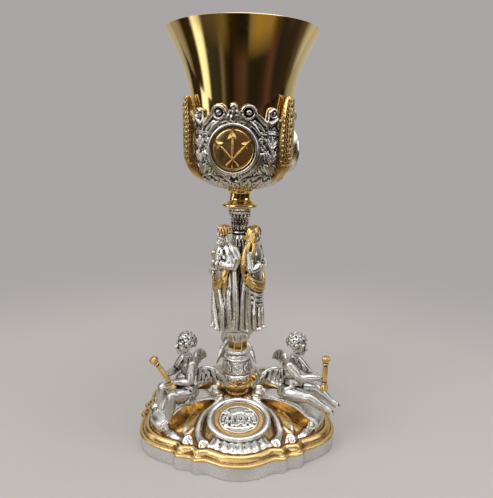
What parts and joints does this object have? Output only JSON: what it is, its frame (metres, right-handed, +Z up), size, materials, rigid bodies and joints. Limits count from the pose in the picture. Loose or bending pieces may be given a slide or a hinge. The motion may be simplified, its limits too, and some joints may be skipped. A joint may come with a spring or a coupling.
{
  "type": "chalice",
  "caption": "Ornate silver and gilt chalice with a flared cup in a scrolled calyx, a stem of robed figures and a lobed foot with seated winged children.",
  "frame": {"origin": "on the chalice's axis, in the plane of the foot's flat underside", "axes": "+Z up along the axis to the cup, -Y to the front, through the middle of one medallion of the foot, +X to the right as seen from the front"},
  "size_m": [0.1466, 0.1512, 0.2867],
  "materials": {
    "gilt": "gilded brass casting, satin with brighter high points",
    "polished_gilt": "gilded brass, mirror polish",
    "silver": "silver-plated brass casting, bright with dark patina in the recesses",
    "dark_silver": "silver-plated brass with a heavy dark patina"
  },
  "bodies": {
    "root": {"foot": "gilt", "child_baton_1": "gilt", "child_baton_2": "gilt", "child_baton_3": "gilt", "knop_bowl": "gilt", "calyx_boss_1": "gilt", "calyx_boss_2": "gilt", "calyx_boss_3": "gilt", "wheat_sheaf_1": "gilt", "wheat_sheaf_2": "gilt", "wheat_sheaf_3": "gilt", "foot_medallion_1": "silver", "foot_medallion_2": "silver", "foot_medallion_3": "silver", "winged_child_1": "silver", "winged_child_2": "silver", "winged_child_3": "silver", "knop_cap": "silver", "figure_stand": "silver", "figure_infant_bearer": "silver", "figure_veiled_woman": "silver", "figure_book_bearer": "silver", "calyx": "silver", "collar": "polished_gilt", "neck": "polished_gilt", "cup": "polished_gilt", "column": "dark_silver"}
  },
  "joints": []
}
